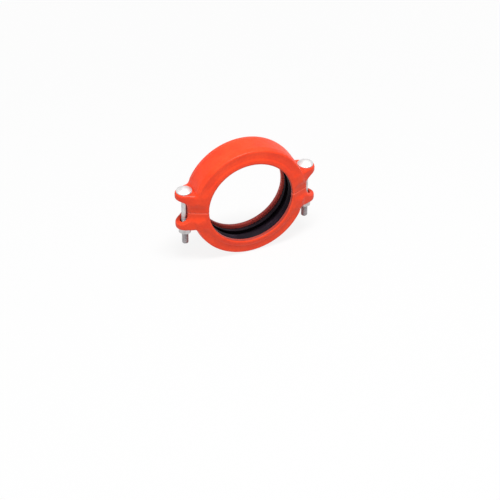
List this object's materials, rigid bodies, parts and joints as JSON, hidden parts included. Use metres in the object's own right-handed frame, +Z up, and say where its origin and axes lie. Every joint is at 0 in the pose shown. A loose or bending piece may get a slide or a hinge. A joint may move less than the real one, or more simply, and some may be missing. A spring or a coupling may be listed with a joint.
{
  "type": "grooved pipe coupling",
  "caption": "Split cast ring coupling with a rubber gasket and bolted ears, clamped round grooved pipe ends to join them.",
  "frame": {"origin": "centre of the pipe way, midway between the two side faces, in the plane where the halves meet", "axes": "+Y along the pipe, +Z up through the upper half and parallel to the bolts, +X towards the right bolt"},
  "size_m": [0.2294, 0.0514, 0.1858],
  "materials": {
    "enamel": "semi-gloss orange-red enamel on cast iron",
    "rubber": "matt black moulded rubber",
    "zinc": "bright zinc plate"
  },
  "bodies": {
    "lower_half": {"lower_housing": "enamel", "gasket": "rubber"},
    "upper_half": {"upper_housing": "enamel", "bolt_left": "zinc", "bolt_right": "zinc"},
    "nut_left": {"nut_left": "zinc"},
    "nut_right": {"nut_right": "zinc"}
  },
  "joints": [
    {"name": "nut_left_turn", "type": "hinge", "parent": "lower_half", "child": "nut_left", "pos_m": [-0.1, 0, -0.037], "axis": [0, 0, -1], "range_deg": [0, 4680]},
    {"name": "nut_right_turn", "type": "hinge", "parent": "lower_half", "child": "nut_right", "pos_m": [0.1, 0, -0.037], "axis": [0, 0, -1], "range_deg": [0, 4680]},
    {"name": "housing_lift", "type": "slide", "parent": "lower_half", "child": "upper_half", "axis": [0, 0, 1], "range_m": [0, 0.0195]}
  ],
  "couplings": [
    {"joint": "nut_left_turn", "follows": "housing_lift", "rad_per_m": 4188.8},
    {"joint": "nut_right_turn", "follows": "housing_lift", "rad_per_m": 4188.8}
  ]
}
